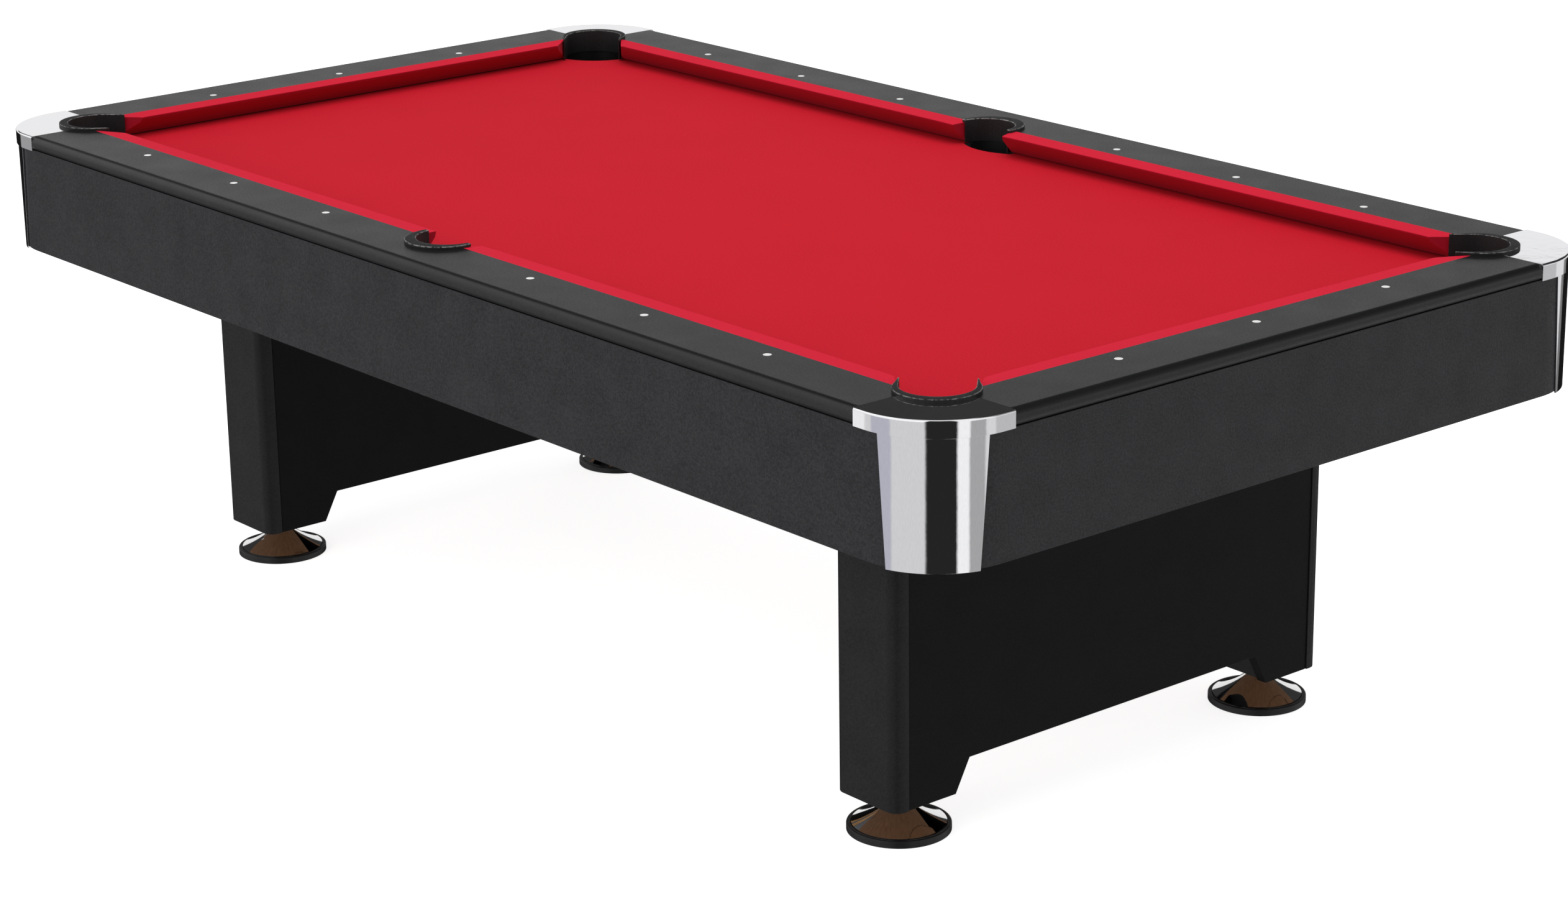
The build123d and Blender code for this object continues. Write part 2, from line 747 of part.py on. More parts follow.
# ---------------------------------------------------------------- levelling feet
foot_origin = Plane(origin=(pedestal_x, foot_y, 0), x_dir=(1, 0, 0), z_dir=(0, -1, 0))
foot_axis = Axis((pedestal_x, foot_y, 0), (0, 0, 1))
dome_bottom = ring_floor + body_clearance
dome_shoulder = dome_bottom + dome_edge
neck_bottom = neck_top - neck_length

with BuildPart() as foot_dome:
    with BuildSketch(foot_origin):
        with BuildLine():
            rim_edge = Line((dome_radius, dome_bottom), (dome_radius, dome_shoulder))
            slope = Bezier(
                rim_edge @ 1,
                (dome_radius - 18, dome_shoulder + 7),
                (neck_radius + 12, neck_bottom - 16),
                (neck_radius, neck_bottom),
            )
            Polyline(
                slope @ 1,
                (neck_radius, neck_top),
                (stud_radius, neck_top),
                (stud_radius, stud_top - 1.5),
                (stud_radius - 1.5, stud_top),
                (0, stud_top),
                (0, dome_bottom),
                rim_edge @ 0,
            )
        make_face()
    revolve(axis=foot_axis)

with BuildPart() as foot_ring:
    with BuildSketch(foot_origin):
        with BuildLine():
            Polyline(
                (0, 0),
                (ring_radius, 0),
                (ring_radius, ring_height),
                (ring_radius - ring_wall, ring_height),
                (ring_radius - ring_wall, ring_floor),
                (0, ring_floor),
                close=True,
            )
        make_face()
        top_corners = vertices().group_by(Axis.Y)[-1]
        fillet(top_corners, radius=2.5)
    revolve(axis=foot_axis)

for corner, (side_x, side_y) in corner_sides.items():
    save(turned(foot_dome, side_x, side_y), f"foot_dome_{corner}")
    save(turned(foot_ring, side_x, side_y), f"foot_ring_{corner}")


# ---------------------------------------------------------------- ball return
def trough(start, end, clear):
    """Open channel along a straight line; start and end are on the middle of its floor."""
    run = Vector(*end) - Vector(*start)
    across = Vector(0, 0, 1).cross(run)
    half = clear / 2
    with BuildPart() as channel:
        with BuildSketch(Plane(origin=start, x_dir=across, z_dir=run)):
            with BuildLine():
                Polyline(
                    (-half - trough_wall, trough_depth),
                    (-half - trough_wall, -trough_wall),
                    (half + trough_wall, -trough_wall),
                    (half + trough_wall, trough_depth),
                    (half, trough_depth),
                    (half, 0),
                    (-half, 0),
                    (-half, trough_depth),
                    close=True,
                )
            make_face()
        extrude(amount=run.length)
    return channel


hanger_reach = side_trough_y - trough_clear / 2 - beam_face_y
side_channel = trough(
    (side_trough_start, side_trough_y, side_floor_start),
    (side_trough_end, side_trough_y, side_floor_end),
    trough_clear,
)
with BuildPart() as side_trough:
    add(side_channel.part)
    for x in (hanger_inset - beam_reach, 0, beam_reach - hanger_inset):  # tabs that screw to the frame
        floor_z = side_floor_start - trough_fall * (side_trough_start - x)
        with BuildSketch(Plane.XY.offset(floor_z + trough_depth / 2)):
            with Locations((x, beam_face_y + hanger_reach / 2)):
                Rectangle(hanger_width, hanger_reach)
        extrude(amount=hanger_height)
save(turned(side_trough, 1, -1), "ball_trough_left")
save(turned(side_trough, 1, 1), "ball_trough_right")

with BuildPart() as end_troughs:
    for side_y in (-1, 1):
        channel = trough(
            (end_trough_x, side_y * end_trough_start, end_floor_start),
            (end_trough_x, side_y * (box_half_width - box_wall), end_floor_end),
            end_trough_clear,
        )
        add(channel.part)
    with BuildSketch(Plane.XY.offset(box_floor)):
        with Locations((end_trough_x, 0)):
            Rectangle(2 * end_trough_clear, 2 * box_half_width)
    extrude(amount=end_floor_start - box_floor + trough_depth, mode=Mode.SUBTRACT)
save(end_troughs, "ball_troughs_end")

box_top = end_floor_end + trough_depth
with BuildPart() as ball_box:
    with BuildSketch(Plane.XY.offset(box_floor - box_wall)):
        with Locations((-(inside_x - box_depth / 2), 0)):
            Rectangle(box_depth, 2 * box_half_width)
    extrude(amount=box_top - box_floor + box_wall)
    with BuildSketch(Plane.XY.offset(box_floor)):
        with Locations((-(inside_x - (box_depth - box_wall) / 2), 0)):
            Rectangle(box_depth - box_wall, 2 * (box_half_width - box_wall))
    extrude(amount=box_top - box_floor, mode=Mode.SUBTRACT)
    with BuildSketch(Plane.XY.offset(end_floor_end)):
        with Locations((end_trough_x, 0)):
            Rectangle(end_trough_clear, 2 * box_half_width)
    extrude(amount=box_top - end_floor_end, mode=Mode.SUBTRACT)
    with BuildSketch(Plane.XY.offset(box_floor)):  # back wall, which stops the balls behind the window
        with Locations((box_wall / 2 - inside_x + box_depth - box_wall, 0)):
            Rectangle(box_wall, 2 * box_half_width)
    extrude(amount=slate_bottom - box_back_clearance - box_floor)
save(ball_box, "ball_box")

with BuildPart() as window_trim:
    with BuildSketch(Plane.YZ.offset(foot_face_x)):
        with Locations((0, window_middle)):
            RectangleRounded(
                2 * (window_half_width + trim_width), window_height + 2 * trim_width,
                window_corner + trim_width,
            )
            RectangleRounded(
                2 * window_half_width, window_height, window_corner, mode=Mode.SUBTRACT
            )
    extrude(amount=-trim_thickness)
save(window_trim, "ball_window_trim")
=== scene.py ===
"""Looks for a full-size pocket pool table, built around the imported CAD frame.

Metres, in the frame's own axes: X runs along the table and the ball box is at its -X end."""

import json
from math import cos, pi, radians, sin

import bmesh
import bpy
from mathutils import Matrix, Vector


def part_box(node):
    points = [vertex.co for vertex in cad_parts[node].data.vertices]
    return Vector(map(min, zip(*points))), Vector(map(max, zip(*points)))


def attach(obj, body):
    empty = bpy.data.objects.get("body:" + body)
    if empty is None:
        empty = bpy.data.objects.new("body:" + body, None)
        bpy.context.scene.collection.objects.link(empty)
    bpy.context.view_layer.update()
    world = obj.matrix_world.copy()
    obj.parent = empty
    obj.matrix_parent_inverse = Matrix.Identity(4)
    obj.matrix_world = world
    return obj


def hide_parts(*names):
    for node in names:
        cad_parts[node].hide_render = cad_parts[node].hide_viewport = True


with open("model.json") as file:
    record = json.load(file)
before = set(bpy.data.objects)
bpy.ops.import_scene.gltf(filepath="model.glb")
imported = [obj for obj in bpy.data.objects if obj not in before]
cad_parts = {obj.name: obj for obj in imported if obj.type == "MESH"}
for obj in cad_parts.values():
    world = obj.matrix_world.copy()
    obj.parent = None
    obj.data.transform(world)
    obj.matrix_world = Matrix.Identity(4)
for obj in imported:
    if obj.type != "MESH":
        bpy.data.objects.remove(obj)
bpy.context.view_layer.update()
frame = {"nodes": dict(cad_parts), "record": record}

MM = 0.001
nodes = frame["nodes"]
corners = ("head_left", "head_right", "foot_left", "foot_right")


# ------------------------------------------------------------------ colours and nodes
def linear(hex_code, alpha=1.0):
    """An sRGB hex value as a linear colour."""
    channels = [int(hex_code[i : i + 2], 16) / 255 for i in (0, 2, 4)]
    return [c / 12.92 if c <= 0.04045 else ((c + 0.055) / 1.055) ** 2.4 for c in channels] + [alpha]


def add_node(tree, kind, inputs=None, **settings):
    """One node with its settings, and its inputs as values or as other nodes' outputs."""
    made = tree.nodes.new(kind)
    for name, value in settings.items():
        setattr(made, name, value)
    for socket, value in (inputs or {}).items():
        if isinstance(value, bpy.types.NodeSocket):
            tree.links.new(value, made.inputs[socket])
        else:
            made.inputs[socket].default_value = value
    return made


def finish_material(name, **constants):
    """A new material with one Principled shader, whose unpatterned values sit on its own sockets."""
    material = bpy.data.materials.new(name)
    material.use_nodes = True
    tree = material.node_tree
    shader = tree.nodes["Principled BSDF"]
    for socket, value in constants.items():
        shader.inputs[socket.replace("_", " ")].default_value = value
    place = add_node(tree, "ShaderNodeTexCoord").outputs["Object"]
    return material, tree, shader, place


def patterned(tree, place, size, detail=2.0, roughness=0.5, stretch=(1, 1, 1)):
    """Noise whose lumps are about size metres across, longer where stretch is below 1."""
    scaled = add_node(tree, "ShaderNodeMapping", {"Vector": place, "Scale": stretch})
    return add_node(
        tree, "ShaderNodeTexNoise",
        {"Vector": scaled.outputs[0], "Scale": 1 / size, "Detail": detail, "Roughness": roughness},
    ).outputs["Fac"]


def blend_colours(tree, amount, first, second):
    """The first colour where amount is 0 and the second where it is 1."""
    return add_node(tree, "ShaderNodeMix", {0: amount, 6: first, 7: second}, data_type="RGBA").outputs[2]


def ranged(tree, value, low, high, new_low, new_high):
    """A value from low to high, carried over to new_low to new_high."""
    return add_node(
        tree, "ShaderNodeMapRange", {0: value, 1: low, 2: high, 3: new_low, 4: new_high}
    ).outputs[0]


def raise_surface(tree, shader, height, depth, strength=1.0):
    """Bump depth metres deep."""
    bump = add_node(tree, "ShaderNodeBump", {"Height": height, "Distance": depth, "Strength": strength})
    tree.links.new(bump.outputs[0], shader.inputs["Normal"])


# ------------------------------------------------------------------ materials
def billiard_cloth(name, light, dark, nap, sheen, nose_shade=None):
    """Woven wool and nylon with a brushed nap: even and matt, with a faint soft bloom at low angles.
    Its threads are 0.5 mm apart, drawn at 2 mm so that they show at all. Where a nose colour is given,
    steep faces
    take that deeper colour: painted shade for the undersides of the cushions' noses."""
    material, tree, shader, place = finish_material(
        name, Roughness=0.92, IOR=1.45, Specular_IOR_Level=0.25, Sheen_Weight=sheen,
        Sheen_Roughness=0.45, Sheen_Tint=linear("ff6a72"),
    )
    threads = patterned(tree, place, 2 * MM, 2.0, 0.6, nap)
    drift = patterned(tree, place, 140 * MM, 3.0)
    worn = ranged(tree, drift, 0.35, 0.7, 0.0, 0.35)
    base = blend_colours(tree, ranged(tree, threads, 0.35, 0.65, 0, 1), linear(dark), linear(light))
    colour = blend_colours(tree, worn, base, linear(light))
    # painted shade: steep faces take the deeper nose colour
    if nose_shade:
        facing = add_node(tree, "ShaderNodeNewGeometry").outputs["Normal"]
        level = add_node(tree, "ShaderNodeSeparateXYZ", {0: facing}).outputs["Z"]
        colour = blend_colours(tree, ranged(tree, level, 0.2, 0.8, 0, 1), linear(nose_shade), colour)
    tree.links.new(colour, shader.inputs["Base Color"])
    raise_surface(tree, shader, threads, 0.25 * MM, 0.6)
    return material


def laminate(name, light, dark, roughness, shine=0.3, raw=None):
    """Melamine laminate pressed with a fine leather-like grain: satin and dark, its grain 1 mm across and
    drawn at 3 mm so that it shows. Downward faces are bare chipboard where raw gives its two colours."""
    material, tree, shader, place = finish_material(name, IOR=1.5, Specular_IOR_Level=shine)
    grain = patterned(tree, place, 3 * MM, 3.0, 0.65)
    cloud = patterned(tree, place, 60 * MM, 2.0)
    mixed = add_node(
        tree, "ShaderNodeMath", {0: grain, 1: ranged(tree, cloud, 0, 1, -0.12, 0.12)}, operation="ADD"
    ).outputs[0]
    colour = blend_colours(tree, ranged(tree, mixed, 0.3, 0.7, 0, 1), linear(dark), linear(light))
    if raw:
        facing = add_node(tree, "ShaderNodeNewGeometry").outputs["Normal"]
        down = add_node(tree, "ShaderNodeSeparateXYZ", {0: facing}).outputs["Z"]
        chips = patterned(tree, place, 6 * MM, 4.0, 0.7)
        board = blend_colours(tree, chips, linear(raw[0]), linear(raw[1]))
        colour = blend_colours(tree, ranged(tree, down, -0.8, -0.6, 1, 0), colour, board)
    tree.links.new(colour, shader.inputs["Base Color"])
    polish = ranged(tree, mixed, 0.3, 0.7, roughness + 0.08, roughness - 0.06)
    tree.links.new(polish, shader.inputs["Roughness"])
    raise_surface(tree, shader, grain, 0.12 * MM, 0.5)
    return material


def chrome(name, tone, roughness):
    """Chrome plate: a mirror, with the plating's faint long ripple and fine wiping marks."""
    material, tree, shader, place = finish_material(name, Metallic=1.0)
    marks = patterned(tree, place, 1.2 * MM, 2.0, 0.5, (1, 1, 0.15))
    ripple = patterned(tree, place, 22 * MM, 3.0, 0.45)
    colour = blend_colours(tree, marks, linear(tone), linear("f6f6f7"))
    tree.links.new(colour, shader.inputs["Base Color"])
    tree.links.new(ranged(tree, marks, 0.4, 0.75, roughness, roughness + 0.05), shader.inputs["Roughness"])
    raise_surface(tree, shader, ripple, 0.16 * MM, 0.5)
    return material


def pocket_leather(name):
    """Black grained leather over a pocket iron, pale along its rolled edges: partly rubbed wear, partly a
    painted highlight.
    """
    material, tree, shader, place = finish_material(name, IOR=1.5, Specular_IOR_Level=0.4)
    cells = add_node(
        tree, "ShaderNodeTexVoronoi", {"Vector": place, "Scale": 1 / (2.2 * MM), "Randomness": 0.9},
        feature="DISTANCE_TO_EDGE",
    ).outputs["Distance"]
    creases = ranged(tree, cells, 0.0, 0.25, 0, 1)
    patchy = patterned(tree, place, 7 * MM, 3.0, 0.7)
    # the pale edge colour is partly rubbed wear and partly a painted highlight on the rolled edge
    rubbed_and_highlit = add_node(tree, "ShaderNodeAttribute", attribute_name="rubbed_and_highlit").outputs["Fac"]
    worn = add_node(
        tree, "ShaderNodeMath", {0: rubbed_and_highlit, 1: ranged(tree, patchy, 0.4, 0.62, 0, 1)}, operation="MULTIPLY"
    ).outputs[0]
    hide = blend_colours(tree, creases, linear("0c0c0d"), linear("171718"))
    tree.links.new(blend_colours(tree, worn, hide, linear("8d8d8a")), shader.inputs["Base Color"])
    tree.links.new(ranged(tree, creases, 0, 1, 0.7, 0.5), shader.inputs["Roughness"])
    raise_surface(tree, shader, creases, 0.2 * MM, 0.7)
    return material


def moulded_plastic(name, light, dark, roughness):
    """Injection-moulded plastic with a spark-eroded skin: black, with grain 1 mm across."""
    material, tree, shader, place = finish_material(name, IOR=1.5, Specular_IOR_Level=0.4)
    grain = patterned(tree, place, 1 * MM, 2.0)
    flow = patterned(tree, place, 50 * MM, 2.0)
    tree.links.new(blend_colours(tree, flow, linear(dark), linear(light)), shader.inputs["Base Color"])
    polish = ranged(tree, grain, 0.3, 0.7, roughness - 0.06, roughness + 0.08)
    tree.links.new(polish, shader.inputs["Roughness"])
    raise_surface(tree, shader, grain, 0.06 * MM, 0.5)
    return material


def moulded_rubber(name):
    """Moulded black rubber: matt and finely grained, bloomed slightly grey in patches."""
    material, tree, shader, place = finish_material(name, IOR=1.52, Specular_IOR_Level=0.35)
    grain = patterned(tree, place, 1.5 * MM, 3.0, 0.6)
    bloom = patterned(tree, place, 25 * MM, 2.0)
    colour = blend_colours(tree, ranged(tree, bloom, 0.4, 0.7, 0, 1), linear("0b0b0c"), linear("1a1a1b"))
    tree.links.new(colour, shader.inputs["Base Color"])
    tree.links.new(ranged(tree, grain, 0.3, 0.7, 0.4, 0.6), shader.inputs["Roughness"])
    raise_surface(tree, shader, grain, 0.1 * MM, 0.5)
    return material


def honed_slate(name):
    """Honed slate: blue-grey, with faint cleavage bands and a fine tooth left by the grinding."""
    material, tree, shader, place = finish_material(name, IOR=1.54, Specular_IOR_Level=0.3)
    bands = patterned(tree, place, 60 * MM, 4.0, 0.6, (0.3, 1, 6))
    tooth = patterned(tree, place, 2 * MM, 3.0, 0.7)
    colour = blend_colours(tree, bands, linear("3c4045"), linear("5b5f63"))
    tree.links.new(colour, shader.inputs["Base Color"])
    tree.links.new(ranged(tree, tooth, 0.3, 0.7, 0.6, 0.75), shader.inputs["Roughness"])
    raise_surface(tree, shader, tooth, 0.15 * MM, 0.5)
    return material


def planed_pine(name):
    """Planed softwood: straw-coloured, with growth rings about 4 mm apart that run along the table."""
    material, tree, shader, place = finish_material(name, IOR=1.5, Specular_IOR_Level=0.3)
    wander = patterned(tree, place, 90 * MM, 3.0, 0.6, (0.25, 1, 1))
    lines = patterned(tree, place, 4 * MM, 3.0, 0.6, (0.03, 1, 1))
    mixed = add_node(tree, "ShaderNodeMath", {0: wander, 1: lines}, operation="MULTIPLY").outputs[0]
    colour = blend_colours(tree, ranged(tree, mixed, 0.12, 0.4, 0, 1), linear("8a5f35"), linear("c79e6c"))
    tree.links.new(colour, shader.inputs["Base Color"])
    tree.links.new(ranged(tree, lines, 0.3, 0.7, 0.55, 0.7), shader.inputs["Roughness"])
    raise_surface(tree, shader, lines, 0.1 * MM, 0.4)
    return material


def zinc_plate(name):
    """Bright zinc on steel: pale grey with a spangle of a few millimetres and a soft sheen."""
    material, tree, shader, place = finish_material(name, Metallic=1.0)
    spangle = add_node(
        tree, "ShaderNodeTexVoronoi", {"Vector": place, "Scale": 1 / (3 * MM)}
    ).outputs["Distance"]
    colour = blend_colours(tree, spangle, linear("8f9296"), linear("c9cccf"))
    tree.links.new(colour, shader.inputs["Base Color"])
    tree.links.new(ranged(tree, spangle, 0, 0.8, 0.28, 0.45), shader.inputs["Roughness"])
    return material


def inlay_white(name):
    """White acrylic inlay, polished flush: bright, with a trace of pearl clouding."""
    material, tree, shader, place = finish_material(name, Roughness=0.22, IOR=1.49)
    cloud = patterned(tree, place, 4 * MM, 2.0)
    colour = blend_colours(tree, cloud, linear("e9e8e2"), linear("ffffff"))
    tree.links.new(colour, shader.inputs["Base Color"])
    raise_surface(tree, shader, cloud, 0.02 * MM, 0.5)
    return material


chipboard = ("4a3120", "7a5a40")
finishes = {
    "bed_cloth": billiard_cloth("billiard_cloth_on_bed", "cc1528", "bd1022", (1, 0.5, 1), 0.04),
    # the deeper nose colour is painted shade under the cushions' noses
    "cushion_cloth": billiard_cloth(
        "billiard_cloth_on_cushions", "d81735", "c8122e", (1, 1, 1), 0.12, nose_shade="a01428"
    ),
    "rail_laminate": laminate("charcoal_laminate_on_rails", "1c1c1d", "121213", 0.34, 0.3),
    "apron_laminate": laminate("charcoal_laminate_on_aprons", "2c2c2e", "18181a", 0.48, 0.22),
    # posts and panels are lit and shaded copies of one black laminate: the panels' darker colour is
    # painted shade for their faces turned from the light
    "post_laminate": laminate("black_laminate_lit_copy_on_posts", "202021", "151516", 0.46, 0.15, chipboard),
    "panel_laminate": laminate("black_laminate_painted_shaded_on_panels", "0f0f10", "080809", 0.46, 0.08, chipboard),
    "corner_chrome": chrome("chrome_plate_on_castings", "e4e4e8", 0.02),
    "foot_chrome": chrome("chrome_plate_on_feet", "d8d6d4", 0.04),
    "lip_leather": pocket_leather("black_pocket_leather"),
    "boot_plastic": moulded_plastic("black_polyethylene_boots", "0d0d0e", "060607", 0.5),
    "ball_return_plastic": moulded_plastic("black_abs_ball_return", "202021", "131314", 0.42),
    "window_trim": moulded_plastic("black_abs_window_trim", "1c1c1d", "101011", 0.3),
    "foot_rubber": moulded_rubber("black_moulded_rubber"),
    "slate": honed_slate("honed_slate"),
    "frame_timber": planed_pine("planed_pine"),
    "zinc_steel": zinc_plate("zinc_plated_steel"),
    "sight_inlay": inlay_white("white_acrylic_inlay"),
}
slot_of = {part["node"]: part["material_slot"] for part in frame["record"]["subparts"]}
for name, node in nodes.items():
    for place in node.material_slots:
        place.material = finishes[slot_of[name]]


# ------------------------------------------------------------------ shared mesh steps
nose_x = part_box("cushion_head_end")[0][0]  # where the cushions' noses are, from the table's middle
nose_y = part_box("cushion_head_right")[0][1]
cloth_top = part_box("bed_cloth")[1][2]
slate_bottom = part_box("slate_bed")[0][2]
weld_distance = 0.01 * MM
quarter_turn = pi / 2
flat_angle = radians(0.5)  # faces closer than this are one flat face
sharp_angle = radians(35)  # edges past this stay crisp in the shading
eased_angle = radians(40)  # edges past this are rounded
ease_segments = 3


def merged(node):
    """A bmesh of a CAD node with its loose triangles joined and its flat faces made whole."""
    work = bmesh.new()
    work.from_mesh(nodes[node].data)
    bmesh.ops.remove_doubles(work, verts=work.verts, dist=weld_distance)
    bmesh.ops.recalc_face_normals(work, faces=work.faces)
    bmesh.ops.dissolve_limit(work, angle_limit=flat_angle, verts=work.verts, edges=work.edges)
    return work


def make_piece(work, name, finish, stands_for):
    """An object from a finished bmesh, riding on the table in place of a CAD node."""
    mesh = bpy.data.meshes.new(name)
    for face in work.faces:
        face.smooth = True
    work.to_mesh(mesh)
    work.free()
    mesh.set_sharp_from_angle(angle=sharp_angle)
    mesh.materials.append(finishes[finish])
    piece = bpy.data.objects.new(name, mesh)
    bpy.context.scene.collection.objects.link(piece)
    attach(piece, "table")
    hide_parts(stands_for)
    return piece


def level_normals(piece):
    """Keeps the shading of large flat faces level where they run into small rounded ones."""
    level = piece.modifiers.new("level_normals", "WEIGHTED_NORMAL")
    level.keep_sharp = True
    level.weight = 100  # the largest faces decide


def ease_edges(piece, width):
    """Rounds every sharp edge by width metres."""
    bevel = piece.modifiers.new("eased_edges", "BEVEL")
    bevel.limit_method, bevel.angle_limit = "ANGLE", eased_angle
    bevel.width, bevel.segments, bevel.profile = width, ease_segments, 0.5
    level_normals(piece)


# ------------------------------------------------------------------ bed cloth
corner_cut_start, corner_cut_radius = -29 * MM, 100 * MM  # of the drop's arc, along the mouth
side_cut_start, side_cut_radius = 6 * MM, 116 * MM
cloth_thickness = 1 * MM
fold_radius = 2 * MM  # over the slate's edge
fold_steps = 4
flap_bottom = slate_bottom + 2 * MM
arc_tolerance = 0.1 * MM
upright_limit = 0.9  # a face is on top of the cloth if its normal's rise isn't less than this

drops = [
    (Vector((side_x * nose_x, side_y * nose_y, 0)), Vector((side_x, side_y, 0)).normalized(),
     corner_cut_start, corner_cut_radius)
    for side_x in (-1, 1) for side_y in (-1, 1)
]
drops += [
    (Vector((0, side_y * nose_y, 0)), Vector((0, side_y, 0)), side_cut_start, side_cut_radius)
    for side_y in (-1, 1)
]


def on_arc(vert, centre, radius):
    """True where a corner of the mesh is on an upright arc round centre."""
    reach = Vector((vert.co.x - centre.x, vert.co.y - centre.y)).length
    return abs(reach - radius) < arc_tolerance


cloth = merged("bed_cloth")
under = [face for face in cloth.faces if face.normal.z < upright_limit]
bmesh.ops.delete(cloth, geom=under, context="FACES")
for start, outwards, cut_start, cut_radius in drops:
    centre = start + outwards * (cut_start + cut_radius)
    rim = [
        edge for edge in cloth.edges
        if edge.is_boundary and all(on_arc(vert, centre, cut_radius) for vert in edge.verts)
    ]
    for step in range(fold_steps + 1):
        turned = quarter_turn * step / fold_steps
        if step:
            made = bmesh.ops.extrude_edge_only(cloth, edges=rim)["geom"]
            rim = [part for part in made if isinstance(part, bmesh.types.BMEdge)]
        for vert in {vert for edge in rim for vert in edge.verts}:
            inwards = Vector((centre.x - vert.co.x, centre.y - vert.co.y, 0)).normalized()
            from_centre = cut_radius - cloth_thickness + fold_radius * (1 - sin(turned))
            flat_centre = Vector((centre.x, centre.y, cloth_top - fold_radius * (1 - cos(turned))))
            vert.co = flat_centre - inwards * from_centre
    made = bmesh.ops.extrude_edge_only(cloth, edges=rim)["geom"]
    for vert in [part for part in made if isinstance(part, bmesh.types.BMVert)]:
        vert.co.z = flap_bottom
bmesh.ops.recalc_face_normals(cloth, faces=cloth.faces)
if sum(face.normal.z * face.calc_area() for face in cloth.faces) < 0:
    bmesh.ops.reverse_faces(cloth, faces=cloth.faces)
bed_cloth = make_piece(cloth, "stretched_bed_cloth", "bed_cloth", "bed_cloth")
wall = bed_cloth.modifiers.new("cloth_thickness", "SOLIDIFY")
wall.thickness, wall.offset = cloth_thickness, -1
level_normals(bed_cloth)

# ------------------------------------------------------------------ cushions
cushion_edge = 1.2 * MM  # rounding, which leaves the groove where the cloth goes down behind its strip
fold_setback, fold_width = 34 * MM, 4 * MM  # of the cloth's fold from the tip of a cushion's back
fold_height = 0.5 * MM
fold_lean = 0.5  # rise for each unit along the cushion
nose_depth = 5 * MM  # of the stretch behind the nose where the fold stands up
cushion_nodes = [f"cushion_{corner}" for corner in corners] + ["cushion_head_end", "cushion_foot_end"]
for node in cushion_nodes:
    cushion = merged(node)
    low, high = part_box(node)
    along = 0 if high[0] - low[0] > high[1] - low[1] else 1
    middle = (low[along] + high[along]) / 2
    half_length = (high[along] - low[along]) / 2
    for side in (-1, 1):
        for back, lift in ((fold_setback, fold_height), (fold_setback + fold_width, 0)):
            cut = Vector(low)
            cut[along] = middle + side * (half_length - back)
            lean = Vector((1, 0, 0)) if along == 0 else Vector((0, 1, 0))
            lean.z = side * fold_lean
            made = bmesh.ops.bisect_plane(
                cushion, geom=cushion.verts[:] + cushion.edges[:] + cushion.faces[:], plane_co=cut,
                plane_no=lean.normalized(),
            )["geom_cut"]
            for vert in [part for part in made if isinstance(part, bmesh.types.BMVert)]:
                out = abs(vert.co[1 - along]) - (nose_y if along == 0 else nose_x)
                if out < nose_depth:
                    vert.co.z += lift
    piece = make_piece(cushion, f"covered_{node}", "cushion_cloth", node)
    ease_edges(piece, cushion_edge)

# ------------------------------------------------------------------ boards
board_edge = 0.8 * MM  # radius of the sanded edges
for node in ["apron_left", "apron_right", "apron_head_end", "apron_foot_end"]:
    ease_edges(make_piece(merged(node), f"faced_{node}", "apron_laminate", node), board_edge)
for end in ("head", "foot"):
    for face in ("outer", "inner"):
        node = f"leg_panel_{end}_{face}"
        ease_edges(make_piece(merged(node), f"faced_{node}", "panel_laminate", node), board_edge)

# ------------------------------------------------------------------ corner castings
casting_edge = 0.7 * MM  # radius that polishing leaves
for corner in corners:
    node = f"corner_casting_{corner}"
    ease_edges(make_piece(merged(node), f"plated_{node}", "corner_chrome", node), casting_edge)

# ------------------------------------------------------------------ pocket lips
lip_edge = 1.6 * MM  # radius of the rolled leather edge
lip_segments = 4
level_tolerance = 0.01 * MM
for place in corners + ("side_left", "side_right"):
    node = f"pocket_lip_{place}"
    lip = merged(node)
    # marks the faces painted pale: partly rubbed wear, partly painted highlight
    lip.faces.layers.float.new("rubbed_and_highlit")
    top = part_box(node)[1][2]
    rim_edges = [
        edge for edge in lip.edges
        if all(abs(vert.co.z - top) < level_tolerance for vert in edge.verts)
        and edge.is_manifold and edge.calc_face_angle() > eased_angle
    ]
    made = bmesh.ops.bevel(
        lip, geom=rim_edges, offset=lip_edge, offset_type="OFFSET", segments=lip_segments, profile=0.5,
        affect="EDGES", material=-1, clamp_overlap=True,
    )
    rubbed_and_highlit = lip.faces.layers.float["rubbed_and_highlit"]
    # the rolled edge faces take the pale colour: partly rubbed wear, partly painted highlight
    for face in made["faces"]:
        face[rubbed_and_highlit] = 1.0
    make_piece(lip, f"leather_{node}", "lip_leather", node)


# ------------------------------------------------------------------ stage
floor_radius = 40  # metres, so that its edge is far behind the table
floor_sides = 96
floor_mesh = bpy.data.meshes.new("floor")
work = bmesh.new()
bmesh.ops.create_circle(work, cap_ends=True, segments=floor_sides, radius=floor_radius)
work.to_mesh(floor_mesh)
work.free()
floor = bpy.data.objects.new("floor", floor_mesh)
bpy.context.scene.collection.objects.link(floor)
floor_paint, tree, shader, place = finish_material(
    "pale_floor_paint", Base_Color=linear("fafafa"), Roughness=0.9, Specular_IOR_Level=0.1,
    Emission_Color=linear("ffffff"), Emission_Strength=0.8,
)
floor_mesh.materials.append(floor_paint)
floor.visible_glossy = False

world = bpy.data.worlds.new("studio")
bpy.context.scene.world = world
world.use_nodes = True
tree = world.node_tree
tree.nodes.clear()
gaze = add_node(tree, "ShaderNodeTexCoord").outputs["Generated"]
east, north, up = add_node(tree, "ShaderNodeSeparateXYZ", {0: gaze}).outputs
south = add_node(tree, "ShaderNodeMath", {0: north, 1: -1.0}, operation="MULTIPLY").outputs[0]
turn = add_node(tree, "ShaderNodeMath", {0: east, 1: south}, operation="ARCTAN2").outputs[0]
around = ranged(tree, turn, -pi, pi, 0, 1)
rise = add_node(tree, "ShaderNodeMath", {0: up}, operation="ARCSINE").outputs[0]


panel_softness = 0.004  # of a full turn, to each side of a panel's edge


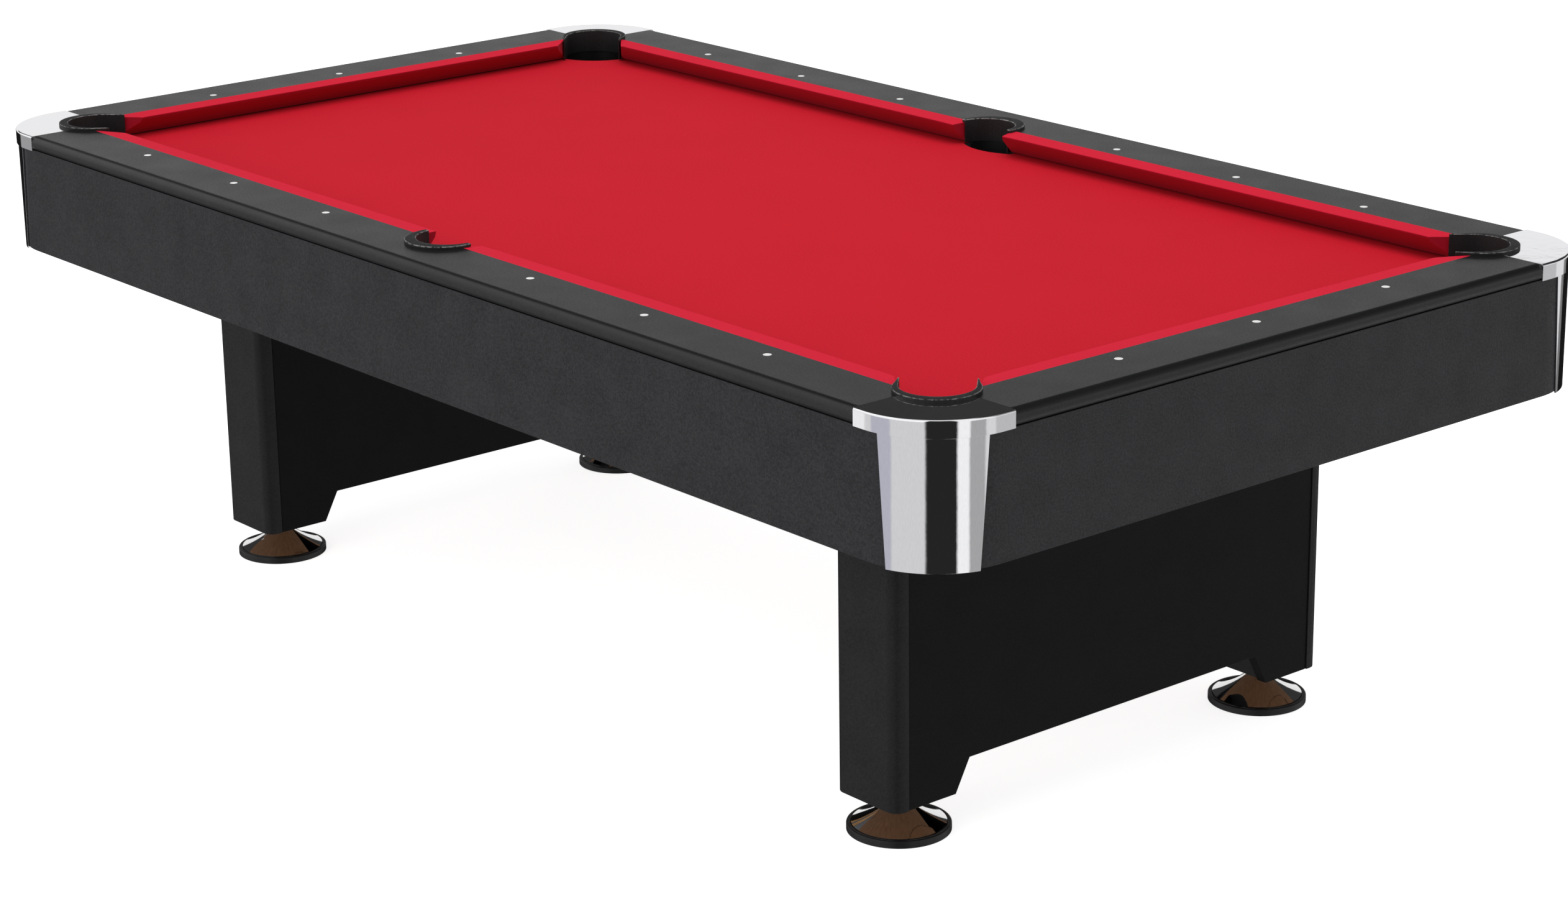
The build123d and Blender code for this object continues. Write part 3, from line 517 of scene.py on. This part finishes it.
def panels(stops):
    """Upright panels round the studio: (degrees from -Y towards +X, brightness) where each one starts.
    The first one starts at -180."""
    ramp = add_node(tree, "ShaderNodeValToRGB", {0: around})
    points = ramp.color_ramp.elements
    levels = [(0.0, stops[0][1])]
    for (_, before), (start, level) in zip(stops, stops[1:]):
        edge = (start + 180) / 360
        levels += [(edge - panel_softness, before), (edge + panel_softness, level)]
    for i, (spot, level) in enumerate(levels):
        point = points[i] if i < len(points) else points.new(spot)
        point.position = spot
        point.color = (*level, 1) if isinstance(level, tuple) else (level, level, level, 1)
    return ramp.outputs[0]


horizon_bottom, horizon_top = -3, 15.4  # elevations in degrees
ceiling_edge, ceiling_softness = 66, 2
low_panels = panels([
    (-180, 0.01), (-79, 0.36), (-56, 0.95), (-46, 0.7), (-36, (0.5, 0.5, 0.57)), (-9, 0.7), (34, 0.02),
    (72, 1.0), (87, 0.42), (107, 0.75), (121, 0.55), (152, 0.8), (172, 0.2),
])
horizon_panels = panels([
    (-180, 0.92), (-36, 0.95), (34, 0.02), (72, 1.0), (121, 0.9),
])
high_panels = panels([
    (-180, 0.035), (-90, 1.1), (34, 0.02), (72, 1.0), (121, 0.3), (150, 0.035),
])


def above(angle, soft=0.8):
    """0 below an elevation in degrees and 1 above it, over a soft edge."""
    return ranged(tree, rise, radians(angle - soft), radians(angle + soft), 0, 1)


gloss = blend_colours(tree, above(horizon_bottom), low_panels, horizon_panels)
gloss = blend_colours(tree, above(horizon_top), gloss, high_panels)
gloss = blend_colours(tree, above(ceiling_edge, ceiling_softness), gloss, linear("f4f4f4"))
soft_light = blend_colours(tree, ranged(tree, up, -0.2, 0.9, 0, 1), linear("8a8a8e"), linear("c8c8ca"))
path = add_node(tree, "ShaderNodeLightPath")
seen = blend_colours(tree, path.outputs["Is Glossy Ray"], soft_light, gloss)
seen = blend_colours(tree, path.outputs["Is Camera Ray"], seen, linear("ffffff"))
background = add_node(tree, "ShaderNodeBackground", {"Color": seen, "Strength": 1.0})
add_node(tree, "ShaderNodeOutputWorld", {0: background.outputs[0]})


def softbox(name, spot, target, width, height, power):
    """A rectangular area light in watts, aimed at target, which neither camera nor mirror sees."""
    light = bpy.data.lights.new(name, "AREA")
    light.shape, light.size, light.size_y, light.energy = "RECTANGLE", width, height, power
    box = bpy.data.objects.new(name, light)
    bpy.context.scene.collection.objects.link(box)
    aim = Vector(spot) - Vector(target)
    box.matrix_world = Matrix.Translation(spot) @ aim.to_track_quat("Z", "Y").to_matrix().to_4x4()
    box.visible_glossy = False
    box.visible_camera = False


softbox("overhead_softbox", (0.0, 0.4, 4.2), (0, 0, 0.7), width=5.0, height=3.0, power=80)
softbox("left_softbox", (0.6, -5.0, 2.6), (0.3, 0, 0.6), width=4.0, height=2.5, power=60)

# ------------------------------------------------------------------ camera
camera = bpy.data.objects.new("camera", bpy.data.cameras.new("camera"))
bpy.context.scene.collection.objects.link(camera)
camera.data.lens, camera.data.sensor_width = 83.78, 36.0
camera.data.clip_end = 200
camera_spot = (4.6148, -3.7576, 2.2139)
camera_turn, camera_tilt, camera_roll = radians(50.08), radians(17.80), radians(0.765)
camera.matrix_world = (
    Matrix.Translation(camera_spot)
    @ Matrix.Rotation(camera_turn, 4, "Z")
    @ Matrix.Rotation(quarter_turn - camera_tilt, 4, "X")
    @ Matrix.Rotation(-camera_roll, 4, "Z")
)
bpy.context.scene.camera = camera
bpy.context.scene.view_settings.view_transform = "Standard"
